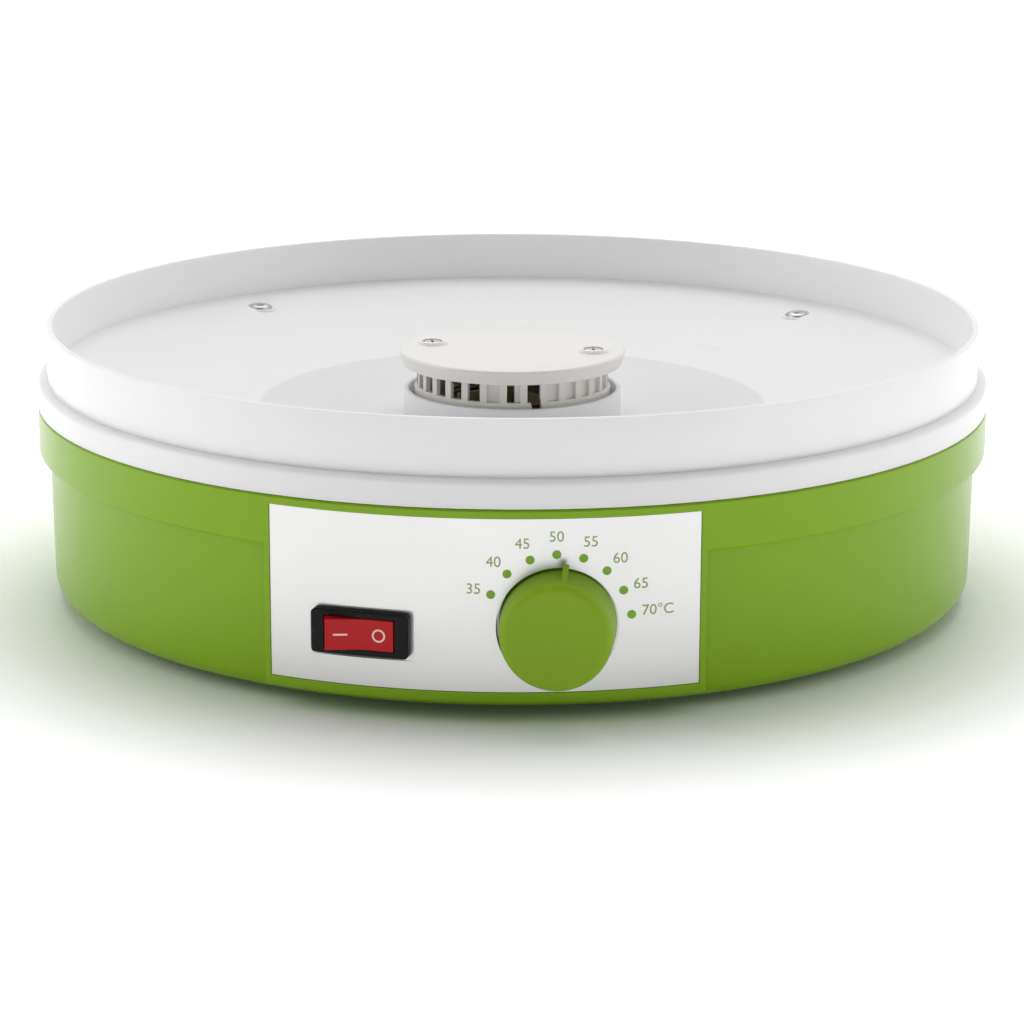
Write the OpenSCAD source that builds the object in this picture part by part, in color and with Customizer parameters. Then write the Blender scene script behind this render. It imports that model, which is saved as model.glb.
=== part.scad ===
// Base unit of a round food dehydrator. A tub holds the fan, the heater and the controls,
// a cover with a raised collar carries the trays, and a slotted cap lets the warm air out.
// Millimetres, +Z up. The origin is on the fan's axis, on the surface that the feet stand on.
// The front, with the switch and the dial, faces -Y.

/* [Tub] */
// Outside diameter over the lip band
lip_d = 320; // [300:1:400]
// Height of the tub from its underside to its upper edge
tub_h = 63.2; // [60:0.2:90]
// Wall and floor thickness
tub_wall = 2.4; // [2:0.1:3]
// Step in from the lip band to the side wall
lip_step = 3.6; // [3:0.1:5]
// Height of the lip band
lip_h = 15.5; // [10:0.5:20]
// Rounding between the side wall and the floor
tub_edge_r = 6; // [4:0.5:10]
// Amount that the side wall leans in towards the floor
side_draft = 0.6; // [0.2:0.1:1]

/* [Feet] */
// Height of the rubber feet below the tub
foot_h = 3; // [2:0.5:6]
// Diameter of a rubber foot
foot_d = 18; // [14:1:22]
// Distance of the feet from the axis
foot_place_r = 122; // [110:1:125]

/* [Control panel] */
// Half of the angle that the raised frame covers
frame_half_angle = 24.85; // [24:0.05:30]
// Width of the green border left and right of the panel
frame_border = 2.4; // [1.5:0.1:4]
// Border between the lip's upper edge and the panel
frame_top_border = 2.5; // [1.5:0.1:4]
// Height of the panel
panel_h = 53.8; // [50:0.2:55]
// Border below the panel
frame_low_border = 4.2; // [2:0.1:5]
// Rounding of the frame's lower edge
frame_foot_r = 3.6; // [1:0.2:4]
// Thickness of the panel
panel_t = 1.6; // [1.2:0.1:2]
// Gap round the panel in its recess
panel_gap = 0.15; // [0.1:0.05:0.3]

/* [Temperature dial] */
// Sideways place of the dial's axis
knob_x = 22.5; // [20:0.5:26]
// Height of the dial's axis below the tub's upper edge
knob_drop = 36; // [30:0.2:36]
// Diameter of the knob at its foot
knob_d = 35.4; // [30:0.2:42]
// Length of the knob along its axis
knob_h = 15.6; // [14:0.2:20]
// Width of the pointer rib
pointer_w = 1.8; // [1.2:0.1:2.4]
// Angle of the pointer from straight up, clockwise as seen from the front
pointer_angle = 7.5; // [-60:0.5:75]
// Gap between the knob and its pocket
pocket_gap = 0.6; // [0.6:0.1:1.5]
// Diameter of the thermostat's spindle
spindle_d = 6; // [5:0.5:7]

/* [Rocker switch] */
// Direction of the switch, measured round the tub from the front
switch_angle = -13.2; // [-14:0.1:-12]
// Height of the switch's centre below the tub's upper edge
switch_drop = 39.5; // [34:0.5:42]
// Length of the bezel
bezel_l = 30.8; // [28:0.2:34]
// Height of the bezel
bezel_w = 13.9; // [13.5:0.1:16]
// Thickness of the bezel
bezel_t = 3; // [2.8:0.1:3.4]
// Length of the opening that the rocker moves in
window_l = 22.4; // [21:0.2:23]
// Gap between the rocker and the opening
rocker_gap = 0.25; // [0.2:0.05:0.4]
// Angle from the middle to either end of the rocker's travel
rocker_tilt = 10; // [6:0.5:10]

/* [Top cover] */
// Height of the outer band above the tub's upper edge
band_h = 9; // [8.5:0.5:12]
// Height of the tray collar above the tub's upper edge
collar_top = 27; // [24:0.5:32]
// Width of the ledge outside the tray collar
ledge_w = 3.4; // [3:0.1:4]
// Thickness of the collar and the floor of the cover
cover_wall = 2; // [1.8:0.1:2.4]
// Width of the dark joint between the cover and the tub
seam_gap = 0.4; // [0.3:0.05:0.6]
// Inside diameter of the throat round the air outlet
throat_d = 70.4; // [70:0.2:76]
// Distance of the cover screws from the axis
cover_screw_r = 140; // [136:0.5:141]

/* [Air outlet cap] */
// Diameter of the cap's disc
cap_d = 76.6; // [76:0.2:80]
// Thickness of the cap's disc
cap_disc_t = 4.9; // [4:0.1:6]
// Outside diameter of the slotted wall
cap_wall_d = 65; // [64:0.5:66]
// Number of slots round the cap
slot_count = 30; // [24:1:32]
// Width of a slot
slot_w = 4.4; // [3:0.1:4.6]
// Height of a slot
slot_h = 7.2; // [5:0.1:8]
// Distance of the cap's screws from the axis
cap_screw_r = 28; // [27:0.1:28.5]
// Height of the bosses round the cap's screws
cap_boss_h = 1; // [0.5:0.1:1.5]
// Direction of the line through the cap's two screws
cap_screw_angle = -9.5; // [-30:0.5:30]

/* [Fan and duct] */
// Diameter of the impeller
impeller_d = 84; // [70:1:86]
// Height of the impeller's blades
blade_h = 7; // [5:0.5:8]
// Number of blades
blade_count = 7; // [5:1:9]
// Angle of the blades from level
blade_pitch = 32; // [25:1:40]
// Wall thickness of the air duct
duct_wall = 1.4; // [1.2:0.1:1.6]
// Gap between the impeller and the duct
impeller_gap = 3; // [2:0.5:4]

/* [Motor] */
// Diameter of the motor shaft
shaft_d = 4; // [3:0.1:5]
// Thickness of the laminated core
stack_h = 12; // [10:0.5:12]
// Diameter of the rotor
rotor_d = 24.4; // [22:0.2:25]
// Air gap between the rotor and the core
rotor_gap = 0.4; // [0.3:0.05:0.6]
// Distance of the two motor bolts from the axis
bolt_r = 19; // [18.5:0.5:20]
// Height of the posts that carry the motor
motor_post_h = 6.1; // [5:0.1:8]

/* [Heater] */
// Length of a mica board between the windings
board_l = 43; // [36:1:44]
// Thickness of a mica board
board_t = 1; // [0.8:0.1:1.2]
// Turns of heater wire
heater_turns = 6; // [4:1:7]
// Diameter of the heater wire's coil
heater_wire_d = 1; // [0.8:0.1:1.2]

/* [Cable entry] */
// Diameter of the cable hole
cable_hole_d = 7; // [6:0.5:8]
// Height of the cable entry above the floor
gland_rise = 18.6; // [17:0.2:24]
// Outside diameter of the gland's barrel
gland_barrel_d = 12; // [11:0.5:13]

/* [Hidden] */
$fn = 96;

// Shared clearances
skin = 0.1;             // overlap that fuses two shapes of one piece
loose_gap = 0.3;        // between parts that drop into each other
running_gap = 0.05;     // between a shaft and its bore
cut = 1;                // how far a cutter runs past the surface

// Levels and radii of the tub
lip_r = lip_d / 2;
side_r = lip_r - lip_step;
floor_z = foot_h;
floor_top = floor_z + tub_wall;
seam_z = floor_z + tub_h;
lip_z = seam_z - lip_h;
lip_edge_r = 1.5;
lip_chamfer = 0.5;
foot_neck_r = 3;
corner_angles = [45, 135, 225, 315];

// Raised frame and panel
frame_edge = 1;
frame_reach = 1.3 * lip_r;
panel_half_angle = frame_half_angle - frame_border / lip_r * 180 / PI;
panel_top_z = seam_z - frame_top_border;
panel_low_z = panel_top_z - panel_h;
frame_low_z = panel_low_z - frame_low_border;
panel_sink = 0.3;
panel_face_r = lip_r - panel_sink;
panel_seat_r = panel_face_r - panel_t - panel_gap;

// Dial: its local frame has +Z out of the front, and 0 on the floor of its pocket
knob_z = seam_z - knob_drop;
pocket_r = knob_d / 2 + pocket_gap;
pocket_min_depth = 0.5;
pocket_y = sqrt(pow(lip_r, 2) - pow(knob_x + pocket_r, 2)) - pocket_min_depth;
cup_wall = 1.5;
cup_floor = 1.6;
cup_r = pocket_r + cup_wall;
knob_base_z = 0.6;
knob_face_z = knob_base_z + knob_h;
knob_face_r = knob_d / 2 - 0.8;
knob_round = 3.2;
knob_wall = 2;
knob_hub_r = spindle_d / 2 + 2.5;
pointer_tip_r = knob_d / 2 + 2.6;
pointer_low_z = lip_r - pocket_y + pocket_min_depth;
spindle_r = spindle_d / 2;
spindle_flat = spindle_r * 0.5;
bushing_r = spindle_r + 2;
bushing_top_z = 4;
nut_t = 2.5;
nut_r = bushing_r * 1.4;
hub_low_z = bushing_top_z + 0.6;
hub_top_z = knob_face_z - knob_wall - 1;
thermostat_stand = 4.5;
thermostat_size = [28, 26, 14];
thermostat_front_z = -cup_floor - thermostat_stand;
thermostat_back_z = thermostat_front_z - thermostat_size[2];

// Switch: its local frame has +Z out of the panel, +Y up, and 0 on the floor of its pocket
switch_z = seam_z - switch_drop;
switch_pocket_gap = 1;
switch_pocket = [bezel_l + 2 * switch_pocket_gap, bezel_w + 2 * switch_pocket_gap];
switch_pocket_depth = 0.35;
switch_r = sqrt(pow(lip_r, 2) - pow(switch_pocket[0] / 2, 2)) - switch_pocket_depth;
switch_seat_t = 1.5;
switch_seat_rim = 1;
window_w = bezel_w - 3.9;
switch_body = [window_l + 4.4, window_w + 1.6, 18];
switch_cavity_depth = 16;
rocker_r = window_l / 2 - rocker_gap;
rocker_w = window_w - 2 * rocker_gap;
pivot_z = 1;
pivot_r = 1.2;
pivot_l = rocker_w / 2 + 1;
rocker_corner_angle = 21;
rocker_root_angle = 24;
rocker_dip = 1.6;
plunger_r = 1;
plunger_tip_z = -7.4;
lever_z = -8.7;
lever_l = 17;
lever_t = 0.8;
lever_w = 3.2;
lever_y = -2;
lever_tilt = 0.6 * rocker_tilt;
rivet_r = 1.2;
rivet_h = 0.6;
terminal_x = [-8, 0, 8];
lever_bead_r = 0.8;
contact_gap = 0.35;
terminal_top_z = [lever_z - 3.5, lever_z - lever_bead_r - contact_gap, lever_z - 1.9];
terminal_size = [0.8, 4.8];
terminal_end_z = -27;

// Top cover
band_z = seam_z + band_h;
collar_top_z = seam_z + collar_top;
collar_r = lip_r - ledge_w;
collar_inner_r = collar_r - cover_wall - 0.1;
rim_round = 0.6;
band_round = 1.8;
spigot_depth = 4;
spigot_r = lip_r - tub_wall - loose_gap;
spigot_inner_r = spigot_r - 1.8;
gutter_z = seam_z + 10.3;
plateau_r = cover_screw_r - 1;
plateau_z = seam_z + 8.4;
dish_r = throat_d / 2 + 51.3;
dish_z = seam_z - 3.9;
throat_r = throat_d / 2;
throat_wall_r = throat_r + 1.8;
throat_top_z = seam_z + 2;
throat_low_z = seam_z - 8;
screw_pocket_r = 4.5;
screw_pocket_z = seam_z + 6.8;
cover_pad_z = screw_pocket_z - 2.4;
cover_pad_r = screw_pocket_r + 1.4;
post_r = 5;

// Screws
screw_r = 1.5;
screw_hole_r = screw_r + loose_gap;
screw_head_r = 3.3;
screw_head_h = 2.1;
cover_screw_l = 14;

// Air outlet cap and duct
cap_top_z = seam_z + 15.3;
cap_disc_z = cap_top_z - cap_disc_t;
cap_roof_z = cap_top_z - 3;
cap_r = cap_d / 2;
cap_lean = 1.2;
cap_round = 1;
cap_wall_r = cap_wall_d / 2;
cap_wall_t = 1.6;
cap_inner_r = cap_wall_r - cap_wall_t;
slot_z = cap_disc_z - slot_h;
slot_pitch = 360 / slot_count;
slot_phase = 15.9;
cap_ring_r = cap_wall_r + 0.8;
duct_r = cap_inner_r + 0.1;
duct_inner_r = duct_r - duct_wall;
duct_top_z = seam_z - 4.5;
cap_socket_r = duct_r + 0.4;
cap_socket_z = duct_top_z + 0.5;
cap_low_z = duct_top_z - 3.5;
baffle_t = 1.1;
baffle_spans = [[-13, 9], [4.5, 4], [22, 80]];
notch_angle = 17.2;
notch_w = 3.4;
notch_depth = 6;
cap_post_r = 3.25;
cap_pocket_r = 3.5;
cap_pocket_depth = 1.9;
cap_boss_r = cap_pocket_r + 1;
cap_boss_top_z = cap_top_z + cap_boss_h;
cap_screw_l = 28;
duct_boss_h = 12;

// Motor and fan, from the floor upwards
strap_t = 1.2;
strap_w = 10;
strap_rise = 3.5;
grommet_t = 1.8;
grommet_r = 4.5;
motor_bolt_r = 1.5;
motor_post_r = 4.5;
motor_post_z = floor_top + motor_post_h;
core_z = motor_post_z + grommet_t + strap_t;
core_top_z = core_z + stack_h;
motor_mid_z = core_z + stack_h / 2;
core_half_w = bolt_r + 5;
core_front_y = -18;
core_back_y = 40;
coil_window = [26, 11];
coil_window_y = 17;
rotor_r = rotor_d / 2;
rotor_h = stack_h + 1;
shaft_r = shaft_d / 2;
bearing_r = shaft_r + 2;
bearing_h = 4;
leg_w = core_back_y - coil_window_y - coil_window[1];
leg_y = core_back_y - leg_w / 2;
bobbin_wall = 1;
coil_t = 5.5;
duct_z = core_top_z + 8;
blade_z = duct_z + 1.5;
hub_r = 9;
hub_h = blade_h + 2;
hub_top = blade_z + hub_h;
clip_h = 1.2;
shaft_top_z = hub_top + clip_h + 0.8;
shaft_low_z = motor_mid_z - stack_h / 2 - strap_rise - strap_t - 0.6;
bell_inner_r = impeller_d / 2 + impeller_gap;
bell_r = bell_inner_r + duct_wall;
bell_top_z = blade_z + blade_h + 1;
duct_neck_z = bell_top_z + 6;
duct_post_r = 4;
duct_post_place_r = bell_r + duct_post_r + 1.6;
duct_post_angles = [30, 150, 270];
duct_flange_t = 1.6;
duct_flange_r = duct_post_place_r + 5;
duct_screw_l = 12;

// Heater
board_wing_h = 2.5;
board_z = duct_top_z - 10;
board_h = 16.5;
board_wing_r = duct_r - 0.4;
board_angles = [35.5, 125.5];
board_slot_gap = 0.1;
winding_gap = 0.9;
winding_r = board_l / 2 + heater_wire_d / 2 + winding_gap;
winding_z = board_z + board_wing_h + 1.2;
winding_pitch = 1.9;
fuse_r = 1.8;
fuse_l = 11;
lead_hole_r = 2;
lead_hole_z = board_z + 3;
lead_hole_angles = [80, 98];

// Cable entry: its local frame has +Z out of the rear, and 0 on the face of its pad
gland_z = floor_top + gland_rise;
gland_pad_r = 14;
gland_pad_t = 6;
gland_pad_y = side_r + 1;
gland_barrel_r = gland_barrel_d / 2;
gland_hex_r = gland_barrel_r + 4.6;
gland_flange_t = 3;
gland_nose_z = 10;
gland_dome_z = 13;
gland_inner_z = -13;
gland_nut_t = 4;

// Terminal block
block_size = [34, 16, 13];
block_at = [-60, 96];
block_post_r = 4;
block_post_h = 3;
block_pole_x = [-12, 12];
block_bore_r = 2.2;
block_z = floor_top + block_post_h;
block_turn = 32;

// Intake slots in the floor
intake_count = 24;
intake_inner_r = 26;
intake_outer_r = 45;
intake_w = 3;

// Internal leads
lead_r = 1.1;
lead_sides = 8;
lead_steps = 4;

// ---------- shared shapes ----------

// Points of an arc, in degrees, with n steps
function arc(x, y, r, from, to, n = 6) =
    [for (i = [0 : n]) let (a = from + (to - from) * i / n) [x + r * cos(a), y + r * sin(a)]];

// Outline of a rectangle with round corners
function round_rect(l, w, r) = concat(
    arc(l / 2 - r, w / 2 - r, r, 0, 90),
    arc(-l / 2 + r, w / 2 - r, r, 90, 180),
    arc(-l / 2 + r, -w / 2 + r, r, 180, 270),
    arc(l / 2 - r, -w / 2 + r, r, 270, 360)
);

// A point at a radius and a direction measured round the tub from the front
function round_tub(r, angle) = [r * sin(angle), -r * cos(angle)];

// A point in the switch's local frame, in the frame of the whole unit
function switch_point(x, y, z) = [
    (switch_r + z) * sin(switch_angle) + x * cos(switch_angle),
    -(switch_r + z) * cos(switch_angle) + x * sin(switch_angle),
    switch_z + y
];

// A point in the dial's local frame, in the frame of the whole unit
function knob_point(x, y, z) = [knob_x + x, -pocket_y - z, knob_z + y];

module at_switch() {
    translate([0, 0, switch_z]) rotate([90, 0, switch_angle]) translate([0, 0, switch_r]) children();
}

module at_knob() {
    translate([knob_x, -pocket_y, knob_z]) rotate([90, 0, 0]) children();
}

module at_gland() {
    translate([0, gland_pad_y, gland_z]) rotate([-90, 0, 0]) children();
}

module at_block() {
    translate([block_at[0], block_at[1], block_z]) rotate([0, 0, block_turn]) children();
}

module around(angles, r) {
    for (a = angles) rotate([0, 0, a]) translate([r, 0, 0]) children();
}

// A box centred in plan, from one level to another
module slab(l, w, low, high) {
    translate([-l / 2, -w / 2, low]) cube([l, w, high - low]);
}

// A wedge of the tub's front, between two levels
module front_wedge(half_angle, low, high) {
    translate([0, 0, low])
    linear_extrude(high - low)
    polygon([
        [0, 0],
        round_tub(frame_reach, -half_angle),
        round_tub(frame_reach, half_angle)
    ]);
}

// A pan-head screw with a cross recess, its head seated at 0 and its shank pointing down
module pan_screw(length, shank_r = screw_r, head_r = screw_head_r, head_h = screw_head_h) {
    crown = head_h * 0.6;
    recess_l = head_r * 1.2;
    recess_w = head_r * 0.26;
    difference() {
        rotate_extrude()
        polygon(concat(
            [[0, -length], [shank_r * 0.4, -length], [shank_r, -length + shank_r]],
            [[shank_r, 0], [head_r, 0]],
            arc(head_r - crown, head_h - crown, crown, 0, 90, 4),
            [[0, head_h]]
        ));
        for (turn = [20, 110])
            rotate([0, 0, turn]) slab(recess_l, recess_w, head_h * 0.35, head_h + cut);
    }
}

// A plain spade terminal, from one level to another
module spade(low, high, size = terminal_size) {
    slab(size[0], size[1], low, high);
}

// ---------- tub ----------

tub_outline = concat(
    [[0, floor_z]],
    arc(side_r - side_draft - tub_edge_r, floor_z + tub_edge_r, tub_edge_r, -90, 0),
    [[side_r, lip_z]],
    arc(lip_r - lip_edge_r, lip_z + lip_edge_r, lip_edge_r, -90, 0, 4),
    [[lip_r, seam_z - lip_chamfer], [lip_r - lip_chamfer, seam_z]],
    [[lip_r - tub_wall, seam_z], [lip_r - tub_wall, lip_z + tub_wall]],
    [[side_r - tub_wall, lip_z + tub_wall]],
    arc(side_r - side_draft - tub_edge_r, floor_z + tub_edge_r, tub_edge_r - tub_wall, 0, -90),
    [[0, floor_top]]
);

module frame_block() {
    edge_angle = frame_edge / lip_r * 180 / PI;
    inner_r = side_r - side_draft - tub_wall / 2;
    intersection() {
        rotate_extrude()
        polygon(concat(
            [[inner_r, frame_low_z]],
            arc(lip_r - frame_foot_r, frame_low_z + frame_foot_r, frame_foot_r, -90, 0, 6),
            [[lip_r, lip_z + 2 * lip_edge_r], [inner_r, lip_z + 2 * lip_edge_r]]
        ));
        linear_extrude(seam_z)
        polygon([
            [0, 0],
            round_tub(lip_r - frame_edge, -frame_half_angle),
            round_tub(lip_r + frame_edge, -frame_half_angle + 2 * edge_angle),
            round_tub(frame_reach, -frame_half_angle + 2 * edge_angle),
            round_tub(frame_reach, frame_half_angle - 2 * edge_angle),
            round_tub(lip_r + frame_edge, frame_half_angle - 2 * edge_angle),
            round_tub(lip_r - frame_edge, frame_half_angle)
        ]);
    }
}

module panel_recess() {
    difference() {
        front_wedge(panel_half_angle, panel_low_z, panel_top_z);
        translate([0, 0, panel_low_z - cut]) cylinder(r = panel_seat_r, h = panel_h + 2 * cut);
    }
}

module tub_posts() {
    around(corner_angles, cover_screw_r)
        translate([0, 0, floor_top - skin]) cylinder(r = post_r, h = cover_pad_z - floor_top + skin);
    around([0, 180], bolt_r)
        translate([0, 0, floor_top - skin]) cylinder(r = motor_post_r, h = motor_post_h + skin);
    around(duct_post_angles, duct_post_place_r)
        translate([0, 0, floor_top - skin]) cylinder(r = duct_post_r, h = duct_z - floor_top + skin);
    translate([block_at[0], block_at[1], floor_top - skin])
        cylinder(r = block_post_r, h = block_post_h + skin);
}

module tub_screw_holes() {
    around(corner_angles, cover_screw_r)
        translate([0, 0, screw_pocket_z - cover_screw_l - cut]) cylinder(r = screw_r, h = cover_screw_l + cut);
    around([0, 180], bolt_r)
        translate([0, 0, floor_top + cut]) cylinder(r = motor_bolt_r, h = motor_post_h);
    around(duct_post_angles, duct_post_place_r)
        translate([0, 0, duct_z - duct_screw_l]) cylinder(r = screw_r, h = duct_screw_l + cut);
    translate([block_at[0], block_at[1], floor_z + cut]) cylinder(r = screw_r, h = block_z);
}

module base_tub() {
    color([0.48, 0.67, 0.11])
    difference() {
        union() {
            rotate_extrude() polygon(tub_outline);
            frame_block();
            at_gland() translate([0, 0, -gland_pad_t]) cylinder(r = gland_pad_r, h = gland_pad_t);
            tub_posts();
        }
        panel_recess();
        at_knob() translate([0, 0, -knob_face_z]) cylinder(r = cup_r + loose_gap, h = 2 * knob_face_z);
        at_switch() slab(
            switch_pocket[0] + 2 * (switch_seat_rim + loose_gap),
            switch_pocket[1] + 2 * (switch_seat_rim + loose_gap),
            -switch_seat_t - loose_gap / 2, knob_face_z
        );
        at_switch() slab(
            switch_body[0] + 2 * loose_gap, switch_body[1] + 2 * loose_gap, -switch_body[2], cut
        );
        at_gland() translate([0, 0, -gland_pad_t - cut])
            cylinder(r = gland_barrel_r + 2 * running_gap, h = gland_pad_t + 2 * cut);
        around(corner_angles, foot_place_r)
            translate([0, 0, floor_z - cut]) cylinder(r = foot_neck_r + 2 * running_gap, h = tub_wall + 2 * cut);
        for (i = [0 : intake_count - 1])
            rotate([0, 0, (i + 0.5) * 360 / intake_count])
            translate([intake_inner_r, -intake_w / 2, floor_z - cut])
            cube([intake_outer_r - intake_inner_r, intake_w, tub_wall + 2 * cut]);
        tub_screw_holes();
    }
}

// A push-in foot: a flat pad under the floor, a neck through it and a head above it
module rubber_foot(angle) {
    foot_r = foot_d / 2;
    head_r = foot_neck_r + 1.2;
    color([0.12, 0.12, 0.12])
    rotate([0, 0, angle]) translate([foot_place_r, 0, 0])
    rotate_extrude()
    polygon([
        [0, 0], [foot_r - 1, 0], [foot_r, 1], [foot_r - 0.5, floor_z],
        [foot_neck_r, floor_z], [foot_neck_r, floor_top], [head_r, floor_top],
        [foot_neck_r, floor_top + 2.4], [0, floor_top + 2.4]
    ]);
}

// ---------- control panel ----------

module control_panel() {
    gap_angle = panel_gap / lip_r * 180 / PI;
    color([0.78, 0.78, 0.78])
    difference() {
        intersection() {
            union() {
                difference() {
                    front_wedge(panel_half_angle - gap_angle, panel_low_z + panel_gap, panel_top_z - panel_gap);
                    cylinder(r = panel_seat_r + panel_gap, h = seam_z);
                }
                at_knob() translate([0, 0, -cup_floor]) cylinder(r = cup_r, h = knob_face_z);
                at_switch() slab(
                    switch_pocket[0] + 2 * switch_seat_rim, switch_pocket[1] + 2 * switch_seat_rim,
                    -switch_seat_t, knob_face_z
                );
            }
            cylinder(r = panel_face_r, h = seam_z);
        }
        at_knob() cylinder(r = pocket_r, h = knob_face_z);
        at_knob() translate([0, 0, -cup_floor - cut]) cylinder(r = bushing_r + 2 * running_gap, h = cup_floor + 2 * cut);
        at_switch() slab(switch_pocket[0], switch_pocket[1], 0, knob_face_z);
        at_switch() slab(
            switch_body[0] + 2 * loose_gap, switch_body[1] + 2 * loose_gap, -switch_seat_t - cut, cut
        );
    }
}

// ---------- top cover ----------

cover_outline = concat(
    [[spigot_inner_r, seam_z - spigot_depth], [spigot_r, seam_z - spigot_depth]],
    [[spigot_r, seam_z + seam_gap], [lip_r, seam_z + seam_gap]],
    arc(lip_r - band_round, band_z - band_round, band_round, 0, 90),
    [[collar_r, band_z]],
    arc(collar_r - rim_round, collar_top_z - rim_round, rim_round, 0, 90, 3),
    arc(collar_inner_r + rim_round, collar_top_z - rim_round, rim_round, 90, 180, 3),
    [[collar_inner_r, gutter_z], [plateau_r, plateau_z], [dish_r, dish_z]],
    [[throat_wall_r, throat_low_z]],
    arc(throat_wall_r - 0.5, throat_top_z - 0.5, 0.5, 0, 90, 3),
    arc(throat_r + 0.5, throat_top_z - 0.5, 0.5, 90, 180, 3),
    [[throat_r, throat_low_z - cover_wall], [throat_wall_r, throat_low_z - cover_wall]],
    [[dish_r, dish_z - cover_wall], [plateau_r, plateau_z - cover_wall]],
    [[spigot_inner_r, gutter_z - cover_wall - 0.6]]
);

module top_cover() {
    color([0.9, 0.91, 0.93])
    difference() {
        union() {
            rotate_extrude() polygon(cover_outline);
            around(corner_angles, cover_screw_r)
                translate([0, 0, cover_pad_z]) cylinder(r = cover_pad_r, h = plateau_z - cover_pad_z - 0.5);
        }
        around(corner_angles, cover_screw_r) {
            translate([0, 0, screw_pocket_z]) cylinder(r = screw_pocket_r, h = band_h);
            translate([0, 0, cover_pad_z - cut]) cylinder(r = screw_hole_r, h = band_h);
        }
    }
}

module cover_screws() {
    color([0.7, 0.7, 0.72])
    around(corner_angles, cover_screw_r) translate([0, 0, screw_pocket_z]) pan_screw(cover_screw_l);
}

// ---------- air outlet cap ----------

cap_outline = concat(
    [[cap_socket_r, cap_low_z], [cap_ring_r, cap_low_z], [cap_ring_r, slot_z - 0.8]],
    [[cap_wall_r, slot_z - 0.4], [cap_wall_r, cap_disc_z], [cap_r - cap_lean, cap_disc_z]],
    arc(cap_r - cap_round, cap_top_z - cap_round, cap_round, 0, 90, 4),
    [[0, cap_top_z], [0, cap_roof_z], [cap_inner_r, cap_roof_z]],
    [[cap_inner_r, cap_socket_z], [cap_socket_r, cap_socket_z]]
);

module cap_posts(r, low, high) {
    around([cap_screw_angle, cap_screw_angle + 180], cap_screw_r)
        translate([0, 0, low]) cylinder(r = r, h = high - low);
}

module air_outlet_cap() {
    color([0.93, 0.92, 0.89])
    difference() {
        union() {
            difference() {
                rotate_extrude() polygon(cap_outline);
                for (i = [0 : slot_count - 1])
                    rotate([0, 0, slot_phase - 90 + i * slot_pitch])
                    translate([cap_inner_r - cut, -slot_w / 2, slot_z])
                    cube([cap_wall_t + 2 * cut, slot_w, slot_h]);
                rotate([0, 0, notch_angle - 90])
                    translate([cap_inner_r - cut, -notch_w / 2, slot_z - notch_depth])
                    cube([cap_wall_t + 3 * cut, notch_w, notch_depth + cut]);
            }
            for (span = baffle_spans)
                rotate([0, 0, span[0] - 90])
                rotate_extrude(angle = span[1])
                translate([cap_inner_r - baffle_t, slot_z - cut])
                square([baffle_t + skin, slot_h + 2 * cut + skin]);
            cap_posts(cap_post_r, duct_top_z, cap_roof_z + skin);
            around([cap_screw_angle, cap_screw_angle + 180], cap_screw_r)
                translate([0, 0, cap_top_z - skin])
                cylinder(r1 = cap_boss_r + cap_boss_h, r2 = cap_boss_r, h = cap_boss_h + skin);
        }
        cap_posts(screw_hole_r, duct_top_z - cut, cap_top_z + cut);
        cap_posts(cap_pocket_r, cap_boss_top_z - cap_pocket_depth, cap_boss_top_z + cut);
    }
}

module cap_screws() {
    color([0.75, 0.75, 0.76])
    around([cap_screw_angle, cap_screw_angle + 180], cap_screw_r)
        translate([0, 0, cap_boss_top_z - cap_pocket_depth])
        pan_screw(cap_screw_l, screw_r, cap_pocket_r - 0.4, cap_pocket_depth - 0.2);
}

// ---------- rocker switch ----------

// Outline of a slab with its two upper corners cut off
function topped(l, low, high, c) =
    [[-l / 2, low], [l / 2, low], [l / 2, high - c], [l / 2 - c, high], [-l / 2 + c, high], [-l / 2, high - c]];

module switch_housing() {
    edge = 0.5;
    corner_r = 1.8;
    color([0.09, 0.1, 0.09])
    at_switch()
    difference() {
        union() {
            intersection() {
                linear_extrude(bezel_t) polygon(round_rect(bezel_l, bezel_w, corner_r));
                rotate([90, 0, 0]) linear_extrude(2 * bezel_w, center = true)
                    polygon(topped(bezel_l, -cut, bezel_t, edge));
                rotate([90, 0, 90]) linear_extrude(2 * bezel_l, center = true)
                    polygon(topped(bezel_w, -cut, bezel_t, edge));
            }
            slab(switch_body[0], switch_body[1], -switch_body[2], skin);
        }
        slab(window_l, window_w, -switch_cavity_depth, bezel_t + cut);
        translate([0, 0, pivot_z]) rotate([90, 0, 0])
            cylinder(r = pivot_r + running_gap, h = 2 * pivot_l + loose_gap, center = true);
        for (x = terminal_x)
            translate([x, 0, 0]) spade(
                -switch_body[2] - cut, -switch_cavity_depth + cut,
                terminal_size + [2 * skin, 2 * skin]
            );
    }
}

module switch_terminals() {
    color([0.85, 0.7, 0.35])
    at_switch()
    for (i = [0 : 2])
        translate([terminal_x[i], 0, 0]) spade(terminal_end_z, terminal_top_z[i]);
}

module neon_lamp() {
    lamp_r = 1.4;
    lamp_l = 9;
    color([0.95, 0.6, 0.4])
    at_switch()
    translate([0, window_w / 2 - lamp_r - 0.4, plunger_tip_z]) rotate([0, 90, 0])
    cylinder(r = lamp_r, h = lamp_l, center = true);
}

rocker_outline = concat(
    arc(0, pivot_z, rocker_r, -rocker_root_angle, rocker_corner_angle),
    [[0, pivot_z + rocker_r * sin(rocker_corner_angle) - rocker_dip]],
    arc(0, pivot_z, rocker_r, 180 - rocker_corner_angle, 180 + rocker_root_angle)
);

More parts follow.
